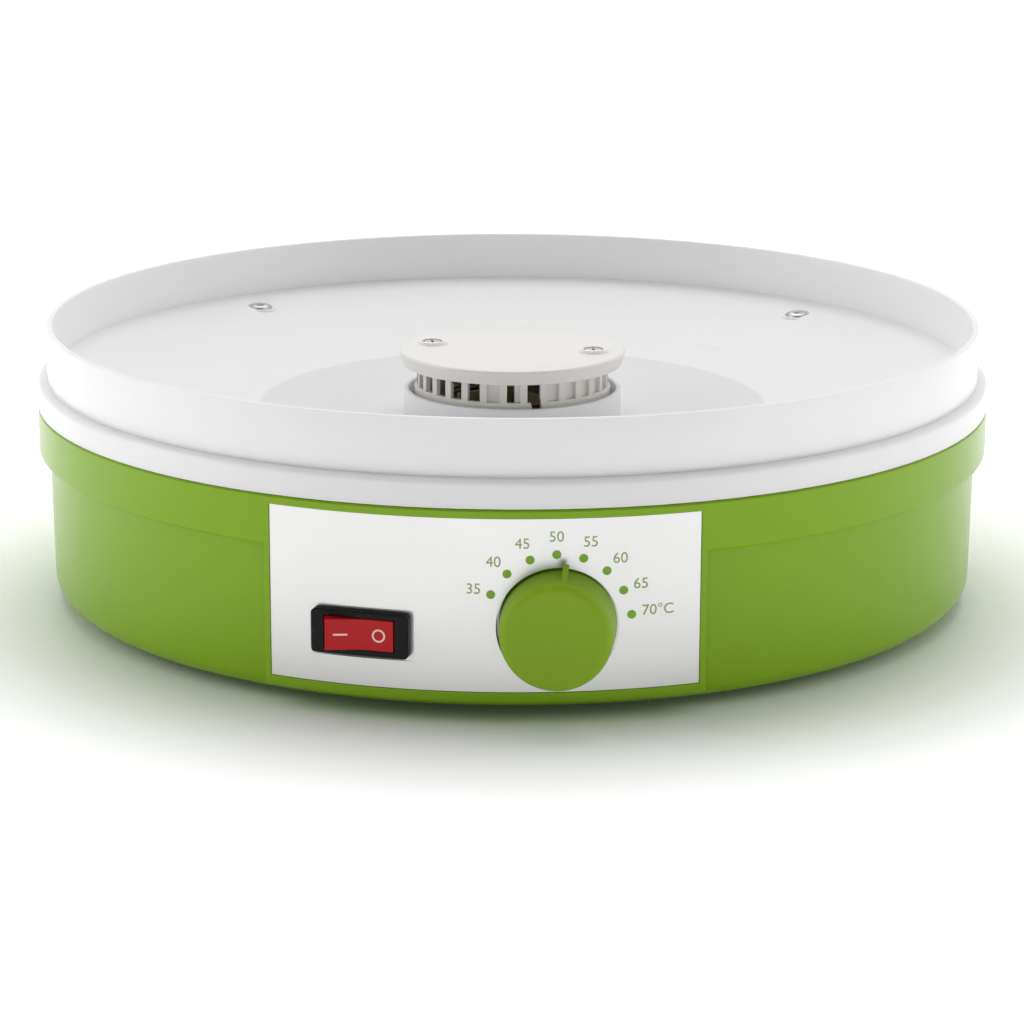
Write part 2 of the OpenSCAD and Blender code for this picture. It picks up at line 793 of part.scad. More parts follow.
module rocker_button() {
    color([0.75, 0.06, 0.06])
    at_switch()
    translate([0, 0, pivot_z]) rotate([0, rocker_tilt, 0]) translate([0, 0, -pivot_z])
    union() {
        rotate([90, 0, 0]) linear_extrude(rocker_w, center = true) polygon(rocker_outline);
        translate([0, 0, pivot_z]) rotate([90, 0, 0]) cylinder(r = pivot_r, h = 2 * pivot_l, center = true);
        translate([0, lever_y, plunger_tip_z]) cylinder(r = plunger_r, h = -plunger_tip_z);
    }
}

module contact_lever() {
    color([0.8, 0.5, 0.3])
    at_switch()
    translate([0, lever_y, lever_z]) rotate([0, -lever_tilt, 0])
    union() {
        slab(lever_l, lever_w, 0, lever_t);
        rotate([90, 0, 0]) cylinder(r = lever_bead_r, h = lever_w, center = true);
        for (side = [-1, 1])
            translate([side * (lever_l / 2 - rivet_r), 0, -rivet_h]) cylinder(r = rivet_r, h = rivet_h + skin);
    }
}

// ---------- temperature dial ----------

knob_outline = concat(
    [[0, hub_top_z - 1], [spindle_r + running_gap, hub_top_z - 1], [spindle_r + running_gap, hub_low_z]],
    [[knob_hub_r, hub_low_z], [knob_hub_r, hub_top_z], [knob_face_r - knob_wall, hub_top_z]],
    [[knob_d / 2 - knob_wall, knob_base_z], [knob_d / 2, knob_base_z]],
    arc(knob_face_r - knob_round, knob_face_z - knob_round, knob_round, 0, 90),
    [[0, knob_face_z]]
);

module temperature_knob() {
    rib_foot_r = knob_face_r - knob_wall / 2;
    color([0.47, 0.64, 0.12])
    at_knob()
    union() {
        rotate_extrude() polygon(knob_outline);
        rotate([0, 0, 90 - pointer_angle])
        rotate([90, 0, 0])
        linear_extrude(pointer_w, center = true)
        polygon([
            [rib_foot_r, pointer_low_z], [pointer_tip_r, pointer_low_z],
            [pointer_tip_r, pointer_low_z + 1.2], [rib_foot_r, knob_face_z - knob_round + 0.6]
        ]);
        translate([-spindle_r, spindle_flat + running_gap, hub_low_z])
            cube([spindle_d, spindle_r - spindle_flat, hub_top_z - hub_low_z - 1 + skin]);
    }
}

module thermostat_spindle() {
    color([0.8, 0.7, 0.4])
    at_knob()
    difference() {
        translate([0, 0, thermostat_back_z + 4]) cylinder(r = spindle_r, h = hub_top_z - 1.5 - thermostat_back_z - 4);
        translate([-spindle_r - cut, spindle_flat, bushing_top_z]) cube([spindle_d + 2 * cut, spindle_r + cut, knob_h]);
    }
}

module thermostat_body() {
    collar_r = bushing_r + 3;
    color([0.88, 0.86, 0.8])
    at_knob()
    difference() {
        union() {
            slab(thermostat_size[0], thermostat_size[1], thermostat_back_z, thermostat_front_z);
            translate([0, 0, thermostat_front_z - skin]) cylinder(r = collar_r, h = thermostat_stand + skin);
            translate([0, 0, thermostat_front_z]) cylinder(r = bushing_r, h = bushing_top_z - thermostat_front_z);
        }
        translate([0, 0, thermostat_back_z + 3]) cylinder(r = spindle_r + running_gap, h = knob_h + 20);
        slab(thermostat_size[0] - 6, 8, thermostat_back_z - cut, thermostat_back_z + 3);
    }
}

module thermostat_nut() {
    color([0.72, 0.72, 0.74])
    at_knob()
    difference() {
        cylinder(r = nut_r, h = nut_t, $fn = 6);
        translate([0, 0, -cut]) cylinder(r = bushing_r, h = nut_t + 2 * cut);
    }
}

module thermostat_terminals() {
    color([0.85, 0.7, 0.35])
    at_knob()
    for (side = [-1, 1])
        translate([side * 10, 8, 0]) spade(thermostat_back_z - 9, thermostat_back_z, [4.8, 0.8]);
}

module bimetal_strip() {
    color([0.6, 0.55, 0.5])
    at_knob() slab(thermostat_size[0] - 8, 6, thermostat_back_z + 0.8, thermostat_back_z + 1.6);
}

// ---------- cable entry ----------

module cable_gland() {
    color([0.13, 0.13, 0.14])
    at_gland()
    difference() {
        union() {
            translate([0, 0, gland_inner_z]) cylinder(r = gland_barrel_r, h = gland_nose_z - gland_inner_z);
            cylinder(r = gland_hex_r, h = gland_flange_t, $fn = 6);
        }
        translate([0, 0, gland_inner_z - cut]) cylinder(d = cable_hole_d, h = 60);
    }
}

module gland_dome_nut() {
    dome_r = gland_hex_r * cos(30) - 0.2;
    mouth_r = cable_hole_d / 2 + 1;
    color([0.13, 0.13, 0.14])
    at_gland()
    rotate_extrude()
    polygon(concat(
        [[gland_barrel_r + running_gap, gland_flange_t + loose_gap], [dome_r, gland_flange_t + loose_gap]],
        arc(dome_r - 3, gland_dome_z - 3, 3, 0, 90, 5),
        [[mouth_r, gland_dome_z], [mouth_r, gland_nose_z + loose_gap]],
        [[gland_barrel_r + running_gap, gland_nose_z + loose_gap]]
    ));
}

module gland_lock_nut() {
    color([0.13, 0.13, 0.14])
    at_gland()
    translate([0, 0, -gland_pad_t - gland_nut_t])
    difference() {
        cylinder(r = gland_hex_r, h = gland_nut_t, $fn = 6);
        translate([0, 0, -cut]) cylinder(r = gland_barrel_r, h = gland_nut_t + 2 * cut);
    }
}

// ---------- fan and duct ----------

duct_outline = [
    [bell_inner_r, duct_z], [duct_flange_r, duct_z], [duct_flange_r, duct_z + duct_flange_t],
    [bell_r, duct_z + duct_flange_t], [bell_r, bell_top_z + duct_wall],
    [duct_r, duct_neck_z + duct_wall], [duct_r, duct_top_z], [duct_inner_r, duct_top_z],
    [duct_inner_r, duct_neck_z], [bell_inner_r, bell_top_z]
];

module air_duct() {
    color([0.82, 0.82, 0.8])
    difference() {
        union() {
            rotate_extrude() polygon(duct_outline);
            intersection() {
                cap_posts(cap_post_r, duct_top_z - duct_boss_h, duct_top_z);
                cylinder(r = duct_r - skin, h = duct_top_z);
            }
        }
        cap_posts(screw_r, duct_top_z - duct_boss_h - cut, duct_top_z + cut);
        around(duct_post_angles, duct_post_place_r)
            translate([0, 0, duct_z - cut]) cylinder(r = screw_hole_r, h = duct_flange_t + 2 * cut);
        for (a = board_angles)
            rotate([0, 0, a]) slab(2 * duct_r + 2 * cut, board_t + 2 * board_slot_gap, board_z, duct_top_z + cut);
        for (a = lead_hole_angles)
            rotate([0, 0, a]) translate([duct_inner_r - 2 * cut, 0, lead_hole_z])
            rotate([0, 90, 0]) cylinder(r = lead_hole_r, h = duct_wall + 4 * cut);
    }
}

module duct_screws() {
    color([0.7, 0.7, 0.72])
    around(duct_post_angles, duct_post_place_r)
        translate([0, 0, duct_z + duct_flange_t]) pan_screw(duct_screw_l);
}

module impeller() {
    blade_r = impeller_d / 2;
    blade_t = 1.4;
    chord = 1.6 * blade_h / sin(blade_pitch);
    color([0.25, 0.26, 0.28])
    difference() {
        union() {
            translate([0, 0, blade_z]) cylinder(r = hub_r, h = hub_h);
            intersection() {
                translate([0, 0, blade_z]) cylinder(r = blade_r, h = blade_h);
                for (i = [0 : blade_count - 1])
                    rotate([0, 0, i * 360 / blade_count])
                    translate([blade_r / 2 + hub_r / 2, 0, blade_z + blade_h / 2])
                    rotate([blade_pitch, 0, 0])
                    cube([blade_r, chord, blade_t], center = true);
            }
        }
        translate([0, 0, blade_z - cut]) cylinder(r = shaft_r, h = hub_h + 2 * cut);
    }
}

module ring(outer_r, inner_r, low, high) {
    translate([0, 0, low])
    difference() {
        cylinder(r = outer_r, h = high - low);
        translate([0, 0, -cut]) cylinder(r = inner_r, h = high - low + 2 * cut);
    }
}

module impeller_clip() {
    color([0.6, 0.6, 0.62]) ring(shaft_r + 2, shaft_r, hub_top, hub_top + clip_h);
}

// ---------- motor ----------

module motor_shaft() {
    color([0.75, 0.75, 0.77]) translate([0, 0, shaft_low_z]) cylinder(r = shaft_r, h = shaft_top_z - shaft_low_z);
}

module rotor() {
    color([0.62, 0.62, 0.64]) ring(rotor_r, shaft_r, motor_mid_z - rotor_h / 2, motor_mid_z + rotor_h / 2);
}

// Places of the two legs of a shading ring, one in the pole and one behind it
shading_legs = [[rotor_r + 2.6, -9.5], [rotor_r + 8.4, -13.5]];
shading_r = 0.9;

module stator_core() {
    color([0.5, 0.5, 0.52])
    difference() {
        translate([-core_half_w, core_front_y, core_z]) cube([2 * core_half_w, core_back_y - core_front_y, stack_h]);
        translate([0, 0, core_z - cut]) cylinder(r = rotor_r + rotor_gap, h = stack_h + 2 * cut);
        translate([-coil_window[0] / 2, coil_window_y, core_z - cut])
            cube([coil_window[0], coil_window[1], stack_h + 2 * cut]);
        around([0, 180], bolt_r)
            translate([0, 0, core_z - cut]) cylinder(r = motor_bolt_r + skin, h = stack_h + 2 * cut);
        for (turn = [0, 180], leg = shading_legs)
            rotate([0, 0, turn]) translate([leg[0], leg[1], core_z - cut])
            cylinder(r = shading_r + skin, h = stack_h + 2 * cut);
    }
}

module shading_rings() {
    bar_t = 1.2;
    run = shading_legs[1] - shading_legs[0];
    color([0.75, 0.4, 0.22])
    for (turn = [0, 180])
        rotate([0, 0, turn]) {
            for (leg = shading_legs)
                translate([leg[0], leg[1], core_z - skin]) cylinder(r = shading_r, h = stack_h + 2 * skin);
            for (level = [core_z - bar_t, core_top_z])
                translate([shading_legs[0][0], shading_legs[0][1], level])
                rotate([0, 0, atan2(run[1], run[0])])
                translate([-shading_r, -shading_r, 0])
                cube([norm(run) + 2 * shading_r, 2 * shading_r, bar_t]);
        }
}

// A square ring round the core's rear leg, along X
module leg_ring(length, outer, inner_w, inner_h, corner) {
    translate([0, leg_y, motor_mid_z]) rotate([90, 0, 90])
    linear_extrude(length, center = true)
    difference() {
        polygon(round_rect(inner_w + 2 * outer, inner_h + 2 * outer, corner));
        square([inner_w, inner_h], center = true);
    }
}

module coil_bobbin() {
    flange_t = 1;
    tube_l = coil_window[0] - 2 * skin;
    color([0.92, 0.9, 0.84])
    union() {
        leg_ring(tube_l, bobbin_wall, leg_w + 2 * skin, stack_h + 2 * skin, 0.5);
        for (side = [-1, 1])
            translate([side * (tube_l - flange_t) / 2, 0, 0])
            leg_ring(flange_t, bobbin_wall + coil_t, leg_w + 2 * skin, stack_h + 2 * skin, 1.5);
    }
}

module field_coil() {
    inner_w = leg_w + 2 * skin + 2 * bobbin_wall;
    inner_h = stack_h + 2 * skin + 2 * bobbin_wall;
    color([0.7, 0.35, 0.15]) leg_ring(coil_window[0] - 2 * skin - 2, coil_t - 0.4, inner_w, inner_h, 3);
}

// A bearing bridge: flat ends on the core and a raised middle with the bearing's seat
module bridge() {
    end_x = core_half_w - 0.5;
    ramp_x = rotor_r + 1.8;
    seat_x = bearing_r + 4.6;
    difference() {
        rotate([90, 0, 0]) linear_extrude(strap_w, center = true)
        polygon([
            [-end_x, 0], [-ramp_x, 0], [-seat_x, strap_rise], [seat_x, strap_rise], [ramp_x, 0], [end_x, 0],
            [end_x, strap_t], [ramp_x + 0.6, strap_t], [seat_x + 0.6, strap_rise + strap_t],
            [-seat_x - 0.6, strap_rise + strap_t], [-ramp_x - 0.6, strap_t], [-end_x, strap_t]
        ]);
        translate([0, 0, -cut]) cylinder(r = bearing_r, h = strap_rise + strap_t + 2 * cut);
        around([0, 180], bolt_r) translate([0, 0, -cut]) cylinder(r = motor_bolt_r + skin, h = strap_t + 2 * cut);
    }
}

module bearing() {
    ring(bearing_r, shaft_r + running_gap, strap_rise - 1.4, strap_rise - 1.4 + bearing_h);
}

module upper_bridge() {
    color([0.78, 0.78, 0.8]) translate([0, 0, core_top_z]) bridge();
}

module lower_bridge() {
    color([0.78, 0.78, 0.8]) translate([0, 0, core_z]) mirror([0, 0, 1]) bridge();
}

module upper_bearing() {
    color([0.7, 0.55, 0.3]) translate([0, 0, core_top_z]) bearing();
}

module lower_bearing() {
    color([0.7, 0.55, 0.3]) translate([0, 0, core_z]) mirror([0, 0, 1]) bearing();
}

module motor_bolts() {
    head_z = core_top_z + strap_t;
    color([0.7, 0.7, 0.72])
    around([0, 180], bolt_r) translate([0, 0, head_z]) pan_screw(head_z - floor_top - cut, motor_bolt_r, 2.8, 1.8);
}

module motor_grommets() {
    color([0.15, 0.15, 0.15])
    around([0, 180], bolt_r) ring(grommet_r, motor_bolt_r + skin, motor_post_z, motor_post_z + grommet_t);
}

// ---------- heater ----------

// Outline of a mica board: a tall middle that carries the winding, and two wings at its foot
board_outline = [
    [-board_wing_r, 0], [board_wing_r, 0], [board_wing_r, board_wing_h], [board_l / 2, board_wing_h],
    [board_l / 2, board_h], [-board_l / 2, board_h], [-board_l / 2, board_wing_h], [-board_wing_r, board_wing_h]
];

module heater_board(angle, slot_low, slot_high) {
    color([0.75, 0.68, 0.5])
    translate([0, 0, board_z]) rotate([0, 0, angle])
    difference() {
        rotate([90, 0, 0]) linear_extrude(board_t, center = true) polygon(board_outline);
        slab(board_t + 2 * board_slot_gap, 2 * board_t, slot_low, slot_high);
    }
}

module heater_board_lower() {
    heater_board(board_angles[0], board_h / 2 - board_slot_gap, board_h + cut);
}

module heater_board_upper() {
    heater_board(board_angles[1], -cut, board_h / 2 + board_slot_gap);
}

winding_steps = 14;
winding_route = [
    for (i = [0 : heater_turns * winding_steps])
    let (a = 90 + i * 360 / winding_steps)
    [winding_r * cos(a), winding_r * sin(a), winding_z + winding_pitch * i / winding_steps]
];

module heater_winding() {
    color([0.45, 0.44, 0.42]) tube(winding_route, heater_wire_d / 2, 6);
}

module thermal_fuse() {
    color([0.85, 0.83, 0.75])
    rotate([0, 0, board_angles[0]])
    translate([12, 0, board_z + board_h + fuse_r + skin]) rotate([0, 90, 0])
    cylinder(r = fuse_r, h = fuse_l, center = true);
}

// ---------- terminal block ----------

module terminal_block() {
    color([0.9, 0.9, 0.88])
    at_block()
    difference() {
        slab(block_size[0], block_size[1], 0, block_size[2]);
        for (x = block_pole_x) {
            translate([x, 0, block_bore_z]) rotate([90, 0, 0])
                cylinder(r = block_bore_r, h = block_size[1] + 2 * cut, center = true);
            translate([x, 0, block_bore_z]) cylinder(r = block_bore_r, h = block_size[2]);
        }
        translate([0, 0, -cut]) cylinder(r = screw_hole_r, h = block_size[2] + 2 * cut);
        translate([0, 0, block_size[2] * 0.5]) cylinder(r = screw_head_r + loose_gap, h = block_size[2]);
    }
}

module terminal_block_screw() {
    color([0.7, 0.7, 0.72])
    at_block() translate([0, 0, block_size[2] * 0.5]) pan_screw(block_size[2] * 0.5 + block_post_h);
}

module terminal_clamp_screws() {
    color([0.8, 0.66, 0.3])
    at_block()
    for (x = block_pole_x)
        translate([x, 0, block_size[2] * 0.72])
        difference() {
            cylinder(r = block_bore_r - skin, h = 3);
            slab(2 * block_bore_r, 0.7, 2, 3 + cut);
        }
}

// ---------- internal leads ----------

function unit(v) = v / norm(v);

// A smooth curve through the points of a route
function blend(a, b, c, d, t) =
    ((2 * b) + (c - a) * t + (2 * a - 5 * b + 4 * c - d) * t * t + (3 * b - a - 3 * c + d) * t * t * t) / 2;

function curve(p) = concat(
    [
        for (i = [0 : len(p) - 2]) for (j = [0 : lead_steps - 1])
        blend(p[max(i - 1, 0)], p[i], p[i + 1], p[min(i + 2, len(p) - 1)], j / lead_steps)
    ],
    [p[len(p) - 1]]
);

// A round tube that follows a list of points and never runs straight up
module tube(path, r, sides) {
    last = len(path) - 1;
    points = [
        for (i = [0 : last])
        let (
            along = unit(path[min(i + 1, last)] - path[max(i - 1, 0)]),
            across = unit(cross(along, [0, 0, 1])),
            over = cross(across, along)
        )
        for (k = [0 : sides - 1])
        let (a = 360 * k / sides)
        path[i] + r * cos(a) * across + r * sin(a) * over
    ];
    walls = [
        for (i = [0 : last - 1]) for (k = [0 : sides - 1])
        let (a = i * sides + k, b = i * sides + (k + 1) % sides)
        [a, b, b + sides, a + sides]
    ];
    ends = [[for (k = [sides - 1 : -1 : 0]) k], [for (k = [0 : sides - 1]) last * sides + k]];
    polyhedron(points, concat(walls, ends), convexity = 10);
}

module lead(route, tint) {
    color(tint) tube(curve(route), lead_r, lead_sides);
}

function block_point(x, y, z) = [
    block_at[0] + x * cos(block_turn) - y * sin(block_turn),
    block_at[1] + x * sin(block_turn) + y * cos(block_turn),
    block_z + z
];

block_bore_z = block_size[2] * 0.38;
lead_end = lead_r + 0.3;
brown = [0.4, 0.2, 0.1];
blue = [0.15, 0.25, 0.6];
white = [0.85, 0.85, 0.82];

live_route = [
    block_point(block_pole_x[0], -4, block_bore_z), block_point(block_pole_x[0], -14, block_bore_z),
    [-72, 62, 10], [-92, 30, 9], [-98, -20, 9], [-88, -66, 12], [-62, -98, 20],
    switch_point(terminal_x[1], 0, terminal_end_z - 12), switch_point(terminal_x[1], 0, terminal_end_z - lead_end)
];

switch_route = [
    switch_point(terminal_x[2], 0, terminal_end_z - lead_end), switch_point(terminal_x[2], 0, terminal_end_z - 10),
    [-16, -104, 20], [-4, -100, 16], knob_point(-10, 8, thermostat_back_z - 20),
    knob_point(-10, 8, thermostat_back_z - 9 - lead_end)
];

function duct_point(r, i, z) = [r * cos(lead_hole_angles[i]), r * sin(lead_hole_angles[i]), z];

fuse_route = [
    knob_point(10, 8, thermostat_back_z - 9 - lead_end), knob_point(10, 8, thermostat_back_z - 18),
    [58, -96, 24], [86, -56, 14], [94, 0, 12], [80, 50, 16], [46, 74, 30], [20, 66, 42],
    duct_point(40, 0, lead_hole_z - 3), duct_point(duct_r, 0, lead_hole_z), duct_point(25, 0, lead_hole_z)
];

heater_route = [
    block_point(block_pole_x[1], -4, block_bore_z), block_point(block_pole_x[1], -14, block_bore_z),
    [-42, 70, 16], [-26, 68, 32], duct_point(50, 1, lead_hole_z - 6),
    duct_point(38, 1, lead_hole_z - 2), duct_point(duct_r, 1, lead_hole_z), duct_point(25, 1, lead_hole_z)
];

motor_live_route = [
    block_point(block_pole_x[0], 4, block_bore_z), block_point(block_pole_x[0], 14, block_bore_z),
    [-74, 118, 10], [-44, 126, 9], [-20, 104, 10], [-6, 72, 14], [-5, leg_y + leg_w / 2 + coil_t + 3, motor_mid_z - 2]
];

motor_neutral_route = [
    block_point(block_pole_x[1], 4, block_bore_z), block_point(block_pole_x[1], 14, block_bore_z),
    [-48, 122, 14], [-24, 116, 14], [2, 92, 12], [8, 70, 16], [6, leg_y + leg_w / 2 + coil_t + 3, motor_mid_z + 3]
];

module lead_live_to_switch() {
    lead(live_route, brown);
}

module lead_switch_to_thermostat() {
    lead(switch_route, brown);
}

module lead_thermostat_to_fuse() {
    lead(fuse_route, white);
}

module lead_heater_neutral() {
    lead(heater_route, blue);
}

module lead_motor_live() {
    lead(motor_live_route, brown);
}

module lead_motor_neutral() {
    lead(motor_neutral_route, blue);
}

// ---------- the pieces ----------

base_tub();
rubber_foot(corner_angles[2]);  // rubber_foot_front_left
rubber_foot(corner_angles[3]);  // rubber_foot_front_right
rubber_foot(corner_angles[1]);  // rubber_foot_rear_left
rubber_foot(corner_angles[0]);  // rubber_foot_rear_right
control_panel();
top_cover();
cover_screws();
air_outlet_cap();
cap_screws();
switch_housing();
switch_terminals();
neon_lamp();
rocker_button();
contact_lever();
temperature_knob();
thermostat_spindle();
thermostat_body();
thermostat_nut();
thermostat_terminals();
bimetal_strip();
cable_gland();
gland_dome_nut();
gland_lock_nut();
air_duct();
duct_screws();
impeller();
impeller_clip();
motor_shaft();
rotor();
stator_core();
coil_bobbin();
field_coil();
shading_rings();
upper_bridge();
lower_bridge();
upper_bearing();
lower_bearing();
motor_bolts();
motor_grommets();
heater_board_lower();
heater_board_upper();
heater_winding();
thermal_fuse();
terminal_block();
terminal_block_screw();
terminal_clamp_screws();
lead_live_to_switch();
lead_switch_to_thermostat();
lead_thermostat_to_fuse();
lead_heater_neutral();
lead_motor_live();
lead_motor_neutral();
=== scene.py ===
import math

import bmesh
import bpy
from mathutils import Matrix, Vector


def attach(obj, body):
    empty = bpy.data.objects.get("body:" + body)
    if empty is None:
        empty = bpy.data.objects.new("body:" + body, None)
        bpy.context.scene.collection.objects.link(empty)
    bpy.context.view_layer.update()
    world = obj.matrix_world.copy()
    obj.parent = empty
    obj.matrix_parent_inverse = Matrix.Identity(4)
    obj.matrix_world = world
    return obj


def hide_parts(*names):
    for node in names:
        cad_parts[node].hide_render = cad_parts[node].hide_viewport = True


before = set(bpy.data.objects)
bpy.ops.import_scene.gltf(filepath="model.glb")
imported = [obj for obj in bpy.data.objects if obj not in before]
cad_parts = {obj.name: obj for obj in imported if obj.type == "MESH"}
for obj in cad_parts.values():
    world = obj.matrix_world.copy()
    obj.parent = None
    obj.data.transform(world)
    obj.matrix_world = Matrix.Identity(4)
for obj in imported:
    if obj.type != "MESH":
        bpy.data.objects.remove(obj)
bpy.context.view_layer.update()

# ---- Studio -------------------------------------------------------------------------------
# A wide white table top under a ring of soft lamps, and a long lens a little above the unit's
# rim. The lamps are big, so the gloss shows as broad bands and not as spots.
scene = bpy.context.scene
scene.view_settings.view_transform = "Standard"

table = bmesh.new()
bmesh.ops.create_grid(table, x_segments=1, y_segments=1, size=6.0)
table_mesh = bpy.data.meshes.new("table_top")
table.to_mesh(table_mesh)
table.free()
table_top = bpy.data.objects.new("table_top", table_mesh)
scene.collection.objects.link(table_top)
paper = bpy.data.materials.new("white_paper")
paper.use_nodes = True
paper_shader = paper.node_tree.nodes["Principled BSDF"]
paper_shader.inputs["Base Color"].default_value = (0.97, 0.97, 0.97, 1)
paper_shader.inputs["Roughness"].default_value = 0.55
paper_shader.inputs["Specular IOR Level"].default_value = 0.2
# Painted light: the paper glows by its own emission, none within 0.15 m of the unit's centre and
# up to 0.5 beyond 0.34 m. This paints a dark contact shadow round the unit's foot and a bright
# glowing floor further out.
paper_shader.inputs["Emission Strength"].default_value = 1.0
paper_place = paper.node_tree.nodes.new("ShaderNodeTexCoord")
paper_reach = paper.node_tree.nodes.new("ShaderNodeVectorMath")
paper_reach.operation = "LENGTH"
painted_floor_glow = paper.node_tree.nodes.new("ShaderNodeMapRange")
painted_floor_glow.interpolation_type = "SMOOTHSTEP"
for end, value in (("From Min", 0.15), ("From Max", 0.34), ("To Min", 0.0), ("To Max", 0.5)):
    painted_floor_glow.inputs[end].default_value = value
paper.node_tree.links.new(paper_place.outputs["Object"], paper_reach.inputs[0])
paper.node_tree.links.new(paper_reach.outputs["Value"], painted_floor_glow.inputs["Value"])
paper.node_tree.links.new(painted_floor_glow.outputs["Result"], paper_shader.inputs["Emission Color"])
table_mesh.materials.append(paper)

world = bpy.data.worlds.new("studio_walls")
world.use_nodes = True
walls = world.node_tree
toward = walls.nodes.new("ShaderNodeTexCoord")
depth_of_room = walls.nodes.new("ShaderNodeSeparateXYZ")
walls.links.new(toward.outputs["Generated"], depth_of_room.inputs["Vector"])
wall_light = walls.nodes.new("ShaderNodeMapRange")
wall_light.interpolation_type = "SMOOTHSTEP"
for end, value in (("From Min", -1.0), ("From Max", 0.7), ("To Min", 0.04), ("To Max", 0.9)):
    wall_light.inputs[end].default_value = value
walls.links.new(depth_of_room.outputs["Y"], wall_light.inputs["Value"])
walls.links.new(wall_light.outputs["Result"], walls.nodes["Background"].inputs["Strength"])
walls.nodes["Background"].inputs["Color"].default_value = (1, 1, 1, 1)
scene.world = world


def softbox(name, place, aim, width, height, watts):
    """A rectangular lamp that faces a point."""
    lamp = bpy.data.lights.new(name, "AREA")
    lamp.shape = "RECTANGLE"
    lamp.size, lamp.size_y, lamp.energy = width, height, watts
    holder = bpy.data.objects.new(name, lamp)
    holder.matrix_world = Matrix.Translation(place) @ (
        Vector(aim) - Vector(place)
    ).to_track_quat("-Z", "Y").to_matrix().to_4x4()
    scene.collection.objects.link(holder)


softbox("lamp_above", (0.0, 0.6, 1.6), (0, 0.1, 0), 1.5, 1.1, 12.4)
softbox("lamp_left", (-1.7, -0.25, 0.7), (0, 0, 0.05), 1.2, 1.2, 8.2)
softbox("lamp_right", (1.7, -0.45, 0.7), (0, 0, 0.05), 1.2, 1.2, 5.2)
softbox("lamp_front", (0.0, -2.4, 0.45), (0, 0, 0.04), 1.6, 0.5, 3.6)

eye = (0.0625, -1.1178, 0.3185)
eye_turn, eye_fall, eye_roll = 3.2, 14.75, 0.195
lens = bpy.data.cameras.new("camera")
lens.sensor_width = 36
lens.lens = 118.39
camera = bpy.data.objects.new("camera", lens)
camera.matrix_world = (
    Matrix.Translation(eye)
    @ Matrix.Rotation(math.radians(eye_turn), 4, "Z")
    @ Matrix.Rotation(math.radians(90 - eye_fall), 4, "X")
    @ Matrix.Rotation(math.radians(eye_roll), 4, "Z")
)
scene.collection.objects.link(camera)
scene.camera = camera

# ---- Base tub -----------------------------------------------------------------------------
# One glossy injection moulding in lime-green ABS: the bowl, the lip band and the raised frame
# round the panel. Its shown copy joins the CAD mesh's loose triangles and smooths its rounds.


def colour(red, green, blue):
    """A screen colour from 0 to 255 as scene-linear values."""
    return tuple(
        c / 12.92 if c <= 0.04045 else ((c + 0.055) / 1.055) ** 2.4
        for c in (red / 255, green / 255, blue / 255)
    ) + (1.0,)


mix_a, mix_b, mix_result = 6, 7, 2


def wire(tree, source, output, target, socket):
    """Joins an output of one node to an input of another."""
    tree.links.new(source.outputs[output], target.inputs[socket])


